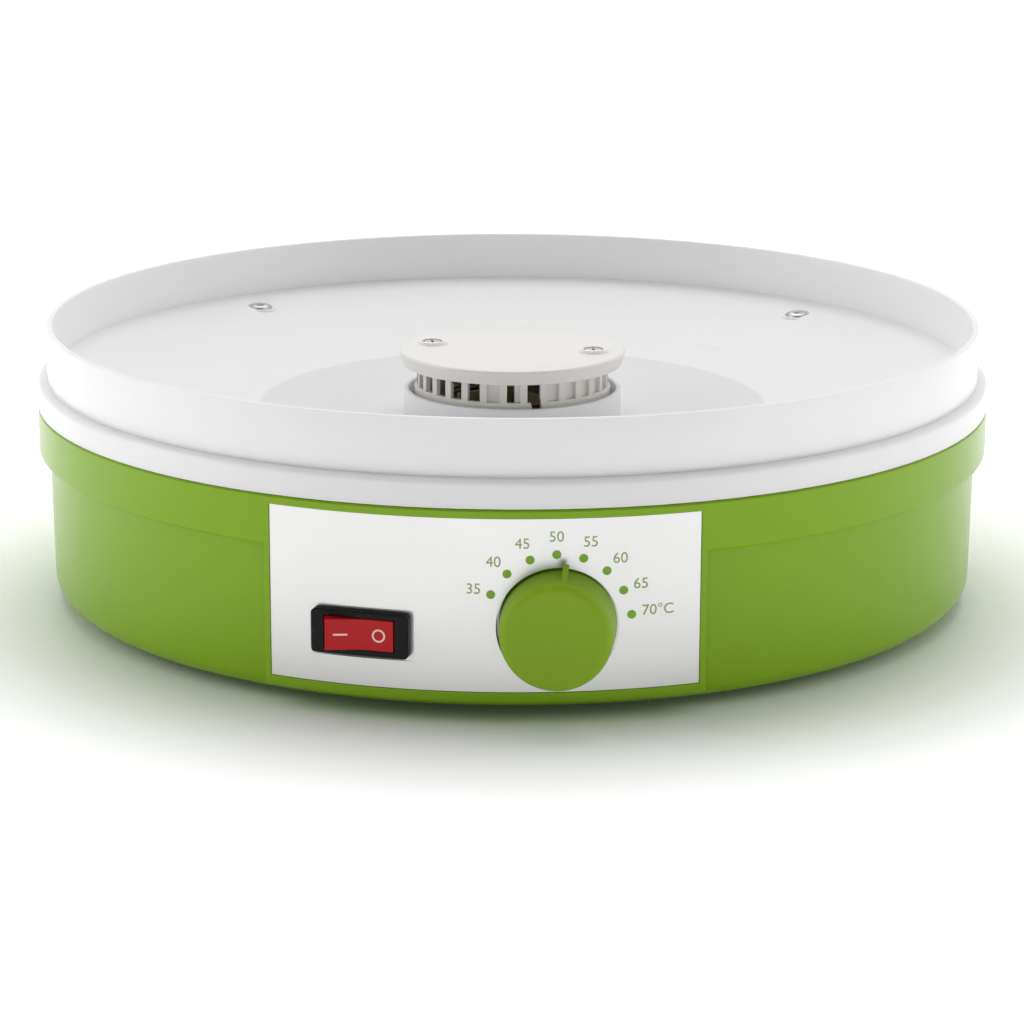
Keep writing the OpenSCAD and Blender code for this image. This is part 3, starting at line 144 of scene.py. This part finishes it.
def moulded_finish():
    """The look of moulded plastic: flow clouding, fine grain, hairline scratches and dust."""
    group = bpy.data.node_groups.new("moulded_finish", "ShaderNodeTree")
    for name, kind, value in (
        ("Colour", "NodeSocketColor", (0.8, 0.8, 0.8, 1)),
        ("Roughness", "NodeSocketFloat", 0.3),
        ("Clouding", "NodeSocketFloat", 0.06),
        ("Grain size", "NodeSocketFloat", 1500.0),
        ("Grain depth", "NodeSocketFloat", 0.2),
        ("Scratches", "NodeSocketFloat", 0.3),
        ("Dust", "NodeSocketFloat", 0.1),
    ):
        socket = group.interface.new_socket(name, in_out="INPUT", socket_type=kind)
        socket.default_value = value
    group.interface.new_socket("Colour", in_out="OUTPUT", socket_type="NodeSocketColor")
    group.interface.new_socket("Roughness", in_out="OUTPUT", socket_type="NodeSocketFloat")
    group.interface.new_socket("Height", in_out="OUTPUT", socket_type="NodeSocketFloat")
    make = group.nodes.new
    given, result = make("NodeGroupInput"), make("NodeGroupOutput")
    place = make("ShaderNodeTexCoord")

    cloud = make("ShaderNodeTexNoise")
    cloud.inputs["Scale"].default_value = 22
    cloud.inputs["Detail"].default_value = 5
    wire(group, place, "Object", cloud, "Vector")
    swing = make("ShaderNodeMath")
    swing.operation = "SUBTRACT"
    swing.inputs[1].default_value = 0.5
    wire(group, cloud, "Fac", swing, 0)
    scaled = make("ShaderNodeMath")
    scaled.operation = "MULTIPLY"
    wire(group, swing, "Value", scaled, 0)
    wire(group, given, "Clouding", scaled, 1)
    lift = make("ShaderNodeMath")
    lift.inputs[1].default_value = 1.0
    wire(group, scaled, "Value", lift, 0)
    shade = make("ShaderNodeVectorMath")
    shade.operation = "SCALE"
    wire(group, given, "Colour", shade, 0)
    wire(group, lift, "Value", shade, "Scale")

    grain = make("ShaderNodeTexNoise")
    grain.inputs["Detail"].default_value = 2
    wire(group, place, "Object", grain, "Vector")
    wire(group, given, "Grain size", grain, "Scale")
    depth = make("ShaderNodeMath")
    depth.operation = "MULTIPLY"
    wire(group, grain, "Fac", depth, 0)
    wire(group, given, "Grain depth", depth, 1)

    stretch = make("ShaderNodeMapping")
    stretch.inputs["Scale"].default_value = (16, 650, 900)
    stretch.inputs["Rotation"].default_value = (0.2, 0.12, 0.3)
    wire(group, place, "Object", stretch, "Vector")
    hair = make("ShaderNodeTexNoise")
    hair.inputs["Scale"].default_value = 1.0
    hair.inputs["Detail"].default_value = 3
    wire(group, stretch, "Vector", hair, "Vector")
    line = make("ShaderNodeMapRange")
    line.inputs["From Min"].default_value = 0.68
    line.inputs["From Max"].default_value = 0.76
    wire(group, hair, "Fac", line, "Value")
    marks = make("ShaderNodeMath")
    marks.operation = "MULTIPLY"
    wire(group, line, "Result", marks, 0)
    wire(group, given, "Scratches", marks, 1)

    specks = make("ShaderNodeTexNoise")
    specks.inputs["Scale"].default_value = 420
    specks.inputs["Detail"].default_value = 6
    specks.inputs["Roughness"].default_value = 0.7
    wire(group, place, "Object", specks, "Vector")
    fleck = make("ShaderNodeMapRange")
    fleck.inputs["From Min"].default_value = 0.62
    fleck.inputs["From Max"].default_value = 0.72
    wire(group, specks, "Fac", fleck, "Value")
    dusty = make("ShaderNodeMath")
    dusty.operation = "MULTIPLY"
    wire(group, fleck, "Result", dusty, 0)
    wire(group, given, "Dust", dusty, 1)
    settle = make("ShaderNodeMix")
    settle.data_type = "RGBA"
    settle.inputs[mix_b].default_value = (0.62, 0.60, 0.56, 1)
    wire(group, dusty, "Value", settle, "Factor")
    group.links.new(shade.outputs["Vector"], settle.inputs[mix_a])
    group.links.new(settle.outputs[mix_result], result.inputs["Colour"])

    rub = make("ShaderNodeMath")
    rub.operation = "MULTIPLY_ADD"
    rub.inputs[1].default_value = 0.25
    wire(group, marks, "Value", rub, 0)
    wire(group, given, "Roughness", rub, 2)
    handled = make("ShaderNodeMath")
    handled.operation = "MULTIPLY_ADD"
    handled.inputs[1].default_value = 0.12
    wire(group, swing, "Value", handled, 0)
    wire(group, rub, "Value", handled, 2)
    dull = make("ShaderNodeMath")
    dull.operation = "MULTIPLY_ADD"
    dull.inputs[1].default_value = 0.5
    wire(group, dusty, "Value", dull, 0)
    wire(group, handled, "Value", dull, 2)
    wire(group, dull, "Value", result, "Roughness")

    groove = make("ShaderNodeMath")
    groove.operation = "SUBTRACT"
    wire(group, depth, "Value", groove, 0)
    wire(group, marks, "Value", groove, 1)
    wire(group, groove, "Value", result, "Height")
    return group


moulding = moulded_finish()


def moulded(name, tint, roughness, clouding=0.06, grain=1500.0, depth=0.2, scratches=0.3,
            dust=0.08, bump=0.06):
    """A Principled plastic that takes its variation from the moulded finish."""
    material = bpy.data.materials.new(name)
    material.use_nodes = True
    tree = material.node_tree
    shader = tree.nodes["Principled BSDF"]
    finish = tree.nodes.new("ShaderNodeGroup")
    finish.node_tree = moulding
    for socket, value in (
        ("Colour", tint), ("Roughness", roughness), ("Clouding", clouding), ("Grain size", grain),
        ("Grain depth", depth), ("Scratches", scratches), ("Dust", dust),
    ):
        finish.inputs[socket].default_value = value
    relief = tree.nodes.new("ShaderNodeBump")
    relief.inputs["Strength"].default_value = bump
    relief.inputs["Distance"].default_value = 0.0003
    wire(tree, finish, "Colour", shader, "Base Color")
    wire(tree, finish, "Roughness", shader, "Roughness")
    wire(tree, finish, "Height", relief, "Height")
    wire(tree, relief, "Normal", shader, "Normal")
    return material


def welded_copy(node, name, body, material, edge=0.0, sharp=28):
    """A copy of a CAD node with its triangles joined, its rounds smooth and, when an edge width
    is given, its edges broken.
    """
    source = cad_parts[node]
    mesh = source.data.copy()
    form = bmesh.new()
    form.from_mesh(mesh)
    bmesh.ops.remove_doubles(form, verts=form.verts, dist=0.000002)
    bmesh.ops.dissolve_degenerate(form, dist=0.000001, edges=form.edges)
    for face in form.faces:
        face.smooth = True
    for side in form.edges:
        side.smooth = len(side.link_faces) == 2 and side.calc_face_angle(0) < math.radians(sharp)
    form.to_mesh(mesh)
    form.free()
    if mesh.attributes.get("custom_normal"):
        mesh.attributes.remove(mesh.attributes["custom_normal"])
    mesh.materials.clear()
    mesh.materials.append(material)
    piece = bpy.data.objects.new(name, mesh)
    scene.collection.objects.link(piece)
    if edge:
        flat = piece.modifiers.new("coplanar_faces", "DECIMATE")
        flat.decimate_type = "DISSOLVE"
        flat.angle_limit = math.radians(0.6)
        soft = piece.modifiers.new("broken_edges", "BEVEL")
        soft.width, soft.segments, soft.limit_method = edge, 2, "ANGLE"
        soft.angle_limit = math.radians(40)
        soft.harden_normals = True
    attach(piece, body)
    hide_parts(node)


lime = moulded("lime_abs", colour(132, 172, 12), 0.25, clouding=0.04, depth=0.5, scratches=0.02,
               dust=0.01, bump=0.05)
lime.node_tree.nodes["Principled BSDF"].inputs["Specular IOR Level"].default_value = 0.28
welded_copy("base_tub", "tub_moulding", "base_unit", lime)

# ---- Rubber feet --------------------------------------------------------------------------
# Four black rubber buttons pushed through holes in the floor. They carry the unit and keep
# its intake slots off the table.
foot_rubber = moulded("foot_rubber", colour(38, 38, 38), 0.75, clouding=0.25, grain=900,
                      depth=1.0, scratches=0.1, dust=0.5, bump=0.4)


def paint(material, *nodes):
    """Gives CAD nodes a finish."""
    for node in nodes:
        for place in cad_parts[node].material_slots:
            place.material = material


paint(foot_rubber, "rubber_foot_front_left", "rubber_foot_front_right",
      "rubber_foot_rear_left", "rubber_foot_rear_right", "motor_grommets")

# ---- Control panel ------------------------------------------------------------------------
# A curved plate sprayed silver, clipped into the frame. It has a shallow flat for the switch
# and a round pocket for the knob, and its scale is pad-printed.
silver = moulded("silver_lacquer", colour(220, 220, 219), 0.3, clouding=0.03, grain=5200,
                 depth=0.7, scratches=0.2, dust=0.05, bump=0.05)
silver.node_tree.nodes["Principled BSDF"].inputs["Metallic"].default_value = 0.88
welded_copy("control_panel", "panel_plate", "base_unit", silver)

panel_r = 0.1597
ink_lift = 0.00006
dial_x, dial_z = 0.0225, 0.0305
dot_circle_r, dot_r = 0.02215, 0.00135
first_mark, mark_step, mark_count = -63.5, 20.9, 8
coolest, degrees_apart, number_height = 35, 5, 0.0046
green_ink = moulded("green_ink", colour(132, 182, 40), 0.5, clouding=0.08, depth=0.4,
                    scratches=0.1, dust=0.0, bump=0.1)
grey_green_ink = moulded("grey_green_ink", colour(150, 178, 100), 0.5, clouding=0.08, depth=0.4,
                         scratches=0.1, dust=0.0, bump=0.1)


def print_on_panel(form, name, ink):
    """Lays a flat print, drawn in X and Z, on the curved face of the panel."""
    for v in form.verts:
        v.co.y = -math.sqrt((panel_r + ink_lift) ** 2 - v.co.x ** 2)
    for face in form.faces:
        if face.normal.y > 0:
            face.normal_flip()
    mesh = bpy.data.meshes.new(name)
    form.to_mesh(mesh)
    form.free()
    mesh.materials.append(ink)
    piece = bpy.data.objects.new(name, mesh)
    scene.collection.objects.link(piece)
    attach(piece, "base_unit")


dots = bmesh.new()
for k in range(mark_count):
    turn = math.radians(first_mark + mark_step * k)
    spot = Matrix.Translation((
        dial_x + dot_circle_r * math.sin(turn), 0, dial_z + dot_circle_r * math.cos(turn)
    )) @ Matrix.Rotation(math.radians(90), 4, "X")
    bmesh.ops.create_circle(dots, cap_ends=True, segments=28, radius=dot_r, matrix=spot)
dots.normal_update()
print_on_panel(dots, "scale_dots", green_ink)

label_r, wide_label_r, label_spread = 0.0275, 0.0300, 1.03
for k in range(mark_count):
    last = k == mark_count - 1
    degrees = coolest + degrees_apart * k
    turn = math.radians(first_mark + mark_step * k) * (1 if last else label_spread)
    reach = wide_label_r if last else label_r
    words = bpy.data.curves.new("scale_number", "FONT")
    words.body = str(degrees) + ("°C" if last else "")
    words.size = number_height
    words.align_x, words.align_y = "CENTER", "CENTER"
    writing = bpy.data.objects.new("scale_number", words)
    flat = bmesh.new()
    flat.from_mesh(bpy.data.meshes.new_from_object(writing))
    bpy.data.objects.remove(writing)
    flat.transform(Matrix.Translation((
        dial_x + reach * math.sin(turn), 0, dial_z + reach * math.cos(turn)
    )) @ Matrix.Rotation(math.radians(90), 4, "X"))
    bmesh.ops.remove_doubles(flat, verts=flat.verts, dist=0.0000005)
    flat.normal_update()
    print_on_panel(flat, "scale_number_%d" % degrees, grey_green_ink)

# ---- Rocker switch ------------------------------------------------------------------------
# A snap-in nylon switch: a black bezel and body, a clear red rocker that a lamp lights from
# inside, and printed white marks. Brass tabs and a copper lever are inside.
switch_turn, switch_r, switch_z = -13.2, 0.158807, 0.0267
rocker_pivot, rocker_tilt = 0.001, 10.0
rocker_end_x, rocker_end_z, rocker_mid_z = 0.01022, 0.00492, 0.00332
mark_x, bar_length, bar_width = 0.0058, 0.0043, 0.0006
ring_r, ring_bore_share = 0.00205, 0.73
black_nylon = moulded("black_nylon", colour(14, 14, 13), 0.45, clouding=0.1, grain=2600,
                      depth=1.0, scratches=0.25, dust=0.12, bump=0.25)
black_nylon.node_tree.nodes["Principled BSDF"].inputs["Specular IOR Level"].default_value = 0.2
welded_copy("switch_housing", "switch_frame", "base_unit", black_nylon,
            edge=0.00022)
paint(black_nylon, "cable_gland", "gland_dome_nut", "gland_lock_nut")

red_clear = moulded("red_polycarbonate", colour(196, 14, 22), 0.3, clouding=0.25, grain=700,
                    depth=0.3, scratches=0.1, dust=0.02, bump=0.05)
red_shader = red_clear.node_tree.nodes["Principled BSDF"]
red_shader.inputs["Specular IOR Level"].default_value = 0.25
red_shader.inputs["Subsurface Weight"].default_value = 0.25
red_shader.inputs["Subsurface Radius"].default_value = (0.004, 0.0006, 0.0006)
red_shader.inputs["Subsurface Scale"].default_value = 1.0
welded_copy("rocker_button", "rocker_cap", "rocker", red_clear, edge=0.00025,
            sharp=20)

white_ink = moulded("white_ink", colour(248, 214, 206), 0.45, clouding=0.05, depth=0.3,
                    scratches=0.15, dust=0.05, bump=0.08)
rocker_place = (
    Matrix.Translation((0, 0, switch_z))
    @ Matrix.Rotation(math.radians(switch_turn), 4, "Z")
    @ Matrix.Rotation(math.radians(90), 4, "X")
    @ Matrix.Translation((0, 0, switch_r + rocker_pivot))
    @ Matrix.Rotation(math.radians(rocker_tilt), 4, "Y")
    @ Matrix.Translation((0, 0, -rocker_pivot))
)
marks = bmesh.new()
bmesh.ops.create_grid(marks, x_segments=4, y_segments=1, size=0.5, matrix=(
    Matrix.Translation((-mark_x, 0, 0)) @ Matrix.Diagonal((bar_length, bar_width, 1, 1))))
ring_start = bmesh.ops.create_circle(marks, cap_ends=False, segments=36, radius=ring_r,
                                     matrix=Matrix.Translation((mark_x, 0, 0)))
ring_edges = [e for e in marks.edges if all(v in ring_start["verts"] for v in e.verts)]
inner = bmesh.ops.extrude_edge_only(marks, edges=ring_edges)
inner_verts = [g for g in inner["geom"] if isinstance(g, bmesh.types.BMVert)]
bmesh.ops.scale(marks, verts=inner_verts, vec=(ring_bore_share, ring_bore_share, 1),
                space=Matrix.Translation((-mark_x, 0, 0)))
for v in marks.verts:
    v.co.z = (rocker_mid_z + (rocker_end_z - rocker_mid_z) * abs(v.co.x) / rocker_end_x
              + ink_lift)
marks.transform(rocker_place)
marks.normal_update()
out_of_switch = rocker_place.to_3x3() @ Vector((0, 0, 1))
for face in marks.faces:
    if face.normal.dot(out_of_switch) < 0:
        face.normal_flip()
mark_mesh = bpy.data.meshes.new("rocker_marks")
marks.to_mesh(mark_mesh)
marks.free()
mark_mesh.materials.append(white_ink)
rocker_marks = bpy.data.objects.new("rocker_marks", mark_mesh)
scene.collection.objects.link(rocker_marks)
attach(rocker_marks, "rocker")

# ---- Temperature knob ---------------------------------------------------------------------
# A hollow moulded cap in the tub's green with a short pointer rib, pressed on the flat of the
# thermostat's spindle. Its face has the soft satin of a spark-eroded tool.
satin_lime = moulded("satin_lime_abs", colour(132, 168, 16), 0.46, clouding=0.05, grain=3000,
                     depth=0.9, scratches=0.05, dust=0.0, bump=0.12)
satin_lime.node_tree.nodes["Principled BSDF"].inputs["Specular IOR Level"].default_value = 0.3
welded_copy("temperature_knob", "knob_cap", "dial", satin_lime)

# ---- Top cover ----------------------------------------------------------------------------
# A white polypropylene moulding that closes the tub. Its band sits on the lip, its collar takes
# the trays, and its floor falls to a dish whose colour is painted darker as painted shade. Four
# sunk screws hold it.
dish_r, throat_wall_r = 0.0865, 0.0372
frosted_white = moulded("frosted_white", colour(240, 240, 241), 0.3, clouding=0.015, grain=2200,
                        depth=0.5, scratches=0.0, dust=0.0, bump=0.05)
cover_shader = frosted_white.node_tree.nodes["Principled BSDF"]
cover_shader.inputs["Subsurface Weight"].default_value = 0.3
cover_shader.inputs["Subsurface Radius"].default_value = (0.006, 0.006, 0.0065)
cover_shader.inputs["Subsurface Scale"].default_value = 1.0

cover_tree = frosted_white.node_tree
cover_finish = cover_tree.nodes["Group"]
dish_place = cover_tree.nodes.new("ShaderNodeTexCoord")
dish_flat = cover_tree.nodes.new("ShaderNodeVectorMath")
dish_flat.operation = "MULTIPLY"
dish_flat.inputs[1].default_value = (1, 1, 0)
wire(cover_tree, dish_place, "Object", dish_flat, 0)
dish_reach = cover_tree.nodes.new("ShaderNodeVectorMath")
dish_reach.operation = "LENGTH"
wire(cover_tree, dish_flat, "Vector", dish_reach, 0)
# Painted shade: between the throat wall and dish_r the cover's colour is mixed to a darker white
# (225 against 240), standing in for the shade on the sunk dish. Its roughness stays the same.
painted_dish_shade_edge = cover_tree.nodes.new("ShaderNodeMapRange")
for end, value in (("From Min", dish_r), ("From Max", dish_r - 0.0006)):
    painted_dish_shade_edge.inputs[end].default_value = value
wire(cover_tree, dish_reach, "Value", painted_dish_shade_edge, "Value")
outside_throat = cover_tree.nodes.new("ShaderNodeMath")
outside_throat.operation = "GREATER_THAN"
outside_throat.inputs[1].default_value = throat_wall_r
wire(cover_tree, dish_reach, "Value", outside_throat, 0)
painted_dish_shade = cover_tree.nodes.new("ShaderNodeMath")
painted_dish_shade.operation = "MULTIPLY"
wire(cover_tree, painted_dish_shade_edge, "Result", painted_dish_shade, 0)
wire(cover_tree, outside_throat, "Value", painted_dish_shade, 1)
painted_dish_shade_tint = cover_tree.nodes.new("ShaderNodeMix")
painted_dish_shade_tint.data_type = "RGBA"
painted_dish_shade_tint.inputs[mix_b].default_value = colour(225, 225, 226)
wire(cover_tree, painted_dish_shade, "Value", painted_dish_shade_tint, "Factor")
cover_tree.links.new(cover_finish.outputs["Colour"], painted_dish_shade_tint.inputs[mix_a])
cover_tree.links.new(painted_dish_shade_tint.outputs[mix_result], cover_shader.inputs["Base Color"])
welded_copy("top_cover", "cover_moulding", "base_unit", frosted_white)

# ---- Screws -------------------------------------------------------------------------------
# Zinc-plated pan-head screws with a cross recess: four in the cover, two in the outlet cap,
# three in the duct, two motor bolts and one in the terminal block.


def metal_finish():
    """The look of worked metal: a clouded tarnish and a fine drawn grain."""
    group = bpy.data.node_groups.new("metal_finish", "ShaderNodeTree")
    for name, kind, value in (
        ("Colour", "NodeSocketColor", (0.7, 0.7, 0.7, 1)),
        ("Tarnish", "NodeSocketColor", (0.3, 0.28, 0.25, 1)),
        ("Roughness", "NodeSocketFloat", 0.3),
        ("Amount", "NodeSocketFloat", 0.3),
        ("Grain size", "NodeSocketFloat", 400.0),
    ):
        socket = group.interface.new_socket(name, in_out="INPUT", socket_type=kind)
        socket.default_value = value
    group.interface.new_socket("Colour", in_out="OUTPUT", socket_type="NodeSocketColor")
    group.interface.new_socket("Roughness", in_out="OUTPUT", socket_type="NodeSocketFloat")
    group.interface.new_socket("Height", in_out="OUTPUT", socket_type="NodeSocketFloat")
    make = group.nodes.new
    given, result = make("NodeGroupInput"), make("NodeGroupOutput")
    place = make("ShaderNodeTexCoord")
    cloud = make("ShaderNodeTexNoise")
    cloud.inputs["Scale"].default_value = 160
    cloud.inputs["Detail"].default_value = 6
    wire(group, place, "Object", cloud, "Vector")
    patch = make("ShaderNodeMapRange")
    patch.inputs["From Min"].default_value = 0.45
    patch.inputs["From Max"].default_value = 0.75
    wire(group, cloud, "Fac", patch, "Value")
    worn = make("ShaderNodeMath")
    worn.operation = "MULTIPLY"
    wire(group, patch, "Result", worn, 0)
    wire(group, given, "Amount", worn, 1)
    tone = make("ShaderNodeMix")
    tone.data_type = "RGBA"
    wire(group, worn, "Value", tone, "Factor")
    group.links.new(given.outputs["Colour"], tone.inputs[mix_a])
    group.links.new(given.outputs["Tarnish"], tone.inputs[mix_b])
    group.links.new(tone.outputs[mix_result], result.inputs["Colour"])
    drawn = make("ShaderNodeMapping")
    drawn.inputs["Scale"].default_value = (1, 1, 8)
    wire(group, place, "Object", drawn, "Vector")
    grain = make("ShaderNodeTexNoise")
    grain.inputs["Detail"].default_value = 3
    wire(group, drawn, "Vector", grain, "Vector")
    wire(group, given, "Grain size", grain, "Scale")
    rough = make("ShaderNodeMath")
    rough.operation = "MULTIPLY_ADD"
    rough.inputs[1].default_value = 0.35
    wire(group, worn, "Value", rough, 0)
    wire(group, given, "Roughness", rough, 2)
    wire(group, rough, "Value", result, "Roughness")
    wire(group, grain, "Fac", result, "Height")
    return group


working = metal_finish()


def worked(name, tint, tarnish, roughness, amount=0.4, grain=900.0, bump=0.15):
    """A Principled metal that takes its variation from the metal finish."""
    material = bpy.data.materials.new(name)
    material.use_nodes = True
    tree = material.node_tree
    shader = tree.nodes["Principled BSDF"]
    shader.inputs["Metallic"].default_value = 1.0
    finish = tree.nodes.new("ShaderNodeGroup")
    finish.node_tree = working
    for socket, value in (
        ("Colour", tint), ("Tarnish", tarnish), ("Roughness", roughness), ("Amount", amount),
        ("Grain size", grain),
    ):
        finish.inputs[socket].default_value = value
    relief = tree.nodes.new("ShaderNodeBump")
    relief.inputs["Strength"].default_value = bump
    relief.inputs["Distance"].default_value = 0.0002
    wire(tree, finish, "Colour", shader, "Base Color")
    wire(tree, finish, "Roughness", shader, "Roughness")
    wire(tree, finish, "Height", relief, "Height")
    wire(tree, relief, "Normal", shader, "Normal")
    return material


zinc = worked("zinc_plate", colour(224, 224, 226), colour(150, 147, 140), 0.42)
welded_copy("cover_screws", "cover_screw_set", "base_unit", zinc, edge=0.00012)
welded_copy("cap_screws", "cap_screw_set", "base_unit", zinc, edge=0.00012)
paint(zinc, "duct_screws", "motor_bolts", "terminal_block_screw", "thermostat_nut",
      "upper_bridge", "lower_bridge", "impeller_clip", "motor_shaft")

# ---- Air outlet cap -----------------------------------------------------------------------
# A warm white cap over the throat. Warm air leaves through its slotted wall, and two long
# screws hold it on the duct below.
warm_white = moulded("warm_white_abs", colour(232, 230, 225), 0.34, clouding=0.02, grain=2400,
                     depth=0.6, scratches=0.2, dust=0.06, bump=0.06)
welded_copy("air_outlet_cap", "outlet_cap", "base_unit", warm_white)

# ---- Fan and duct -------------------------------------------------------------------------
# A grey heat-proof duct on three posts leads the air up to the cap. The black glass-filled
# impeller sits in its bell, on the motor's shaft.
duct_grey = moulded("duct_grey", colour(200, 200, 196), 0.55, clouding=0.08, grain=1200,
                    depth=0.8, scratches=0.2, dust=0.25, bump=0.2)
fan_black = moulded("fan_black", colour(58, 60, 63), 0.5, clouding=0.15, grain=900, depth=0.8,
                    scratches=0.3, dust=0.5, bump=0.2)
paint(duct_grey, "air_duct")
paint(fan_black, "impeller")

# ---- Motor --------------------------------------------------------------------------------
# A shaded-pole motor: a stack of stamped steel sheets, a wound nylon bobbin on one leg,
# copper shading rings, and plain bronze bearings in stamped bridges.
sheet_steel = worked("sheet_steel", colour(150, 150, 152), colour(96, 84, 74), 0.42, 0.6, 1400,
                     0.4)
bronze = worked("sintered_bronze", colour(190, 150, 96), colour(120, 90, 60), 0.45)
copper = worked("copper", colour(206, 128, 92), colour(120, 70, 50), 0.3)
enamel = worked("enamelled_wire", colour(176, 92, 50), colour(110, 54, 30), 0.34, 0.5, 2400, 0.6)
nylon = moulded("natural_nylon", colour(232, 228, 212), 0.5, clouding=0.08, depth=0.6, dust=0.2)
paint(sheet_steel, "stator_core", "rotor")
paint(bronze, "upper_bearing", "lower_bearing")
paint(copper, "shading_rings", "contact_lever")
paint(enamel, "field_coil")
paint(nylon, "coil_bobbin")

# ---- Heater -------------------------------------------------------------------------------
# Two crossed mica boards hold a coil of resistance wire in the duct's mouth, under a ceramic
# thermal fuse.
mica = moulded("pressed_mica", colour(196, 180, 140), 0.35, clouding=0.5, grain=600, depth=1.0,
               scratches=0.5, dust=0.1, bump=0.4)
scaled_wire = worked("oxidised_wire", colour(120, 112, 104), colour(70, 62, 56), 0.5, 0.7)
unglazed = moulded("unglazed_ceramic", colour(226, 220, 204), 0.8, clouding=0.1, grain=1800,
                   depth=1.0, dust=0.1, bump=0.3)
paint(mica, "heater_board_lower", "heater_board_upper")
paint(scaled_wire, "heater_winding")
paint(unglazed, "thermal_fuse")

# ---- Thermostat and wiring ----------------------------------------------------------------
# A bimetal thermostat behind the panel, a two-way terminal block on its post, brass tabs and
# insulated leads.
brass = worked("brass", colour(214, 184, 112), colour(140, 110, 66), 0.28)
spring_steel = worked("spring_steel", colour(168, 160, 150), colour(110, 90, 80), 0.35)
brown_cover = moulded("brown_lead", colour(110, 66, 38), 0.45, clouding=0.1, dust=0.1)
blue_cover = moulded("blue_lead", colour(52, 84, 160), 0.45, clouding=0.1, dust=0.1)
glass_sleeve = moulded("glass_sleeve", colour(226, 226, 218), 0.7, clouding=0.15, grain=2600,
                       depth=1.0, dust=0.1, bump=0.4)
paint(brass, "thermostat_spindle", "thermostat_terminals", "switch_terminals",
      "terminal_clamp_screws")
paint(spring_steel, "bimetal_strip")
paint(unglazed, "thermostat_body", "terminal_block")
paint(brown_cover, "lead_live_to_switch", "lead_switch_to_thermostat", "lead_motor_live")
paint(blue_cover, "lead_heater_neutral", "lead_motor_neutral")
paint(glass_sleeve, "lead_thermostat_to_fuse")

lamp_glass = moulded("lamp_glass", colour(250, 206, 170), 0.1, clouding=0.1, dust=0.1)
lamp_glass.node_tree.nodes["Principled BSDF"].inputs["Transmission Weight"].default_value = 0.7
paint(lamp_glass, "neon_lamp")
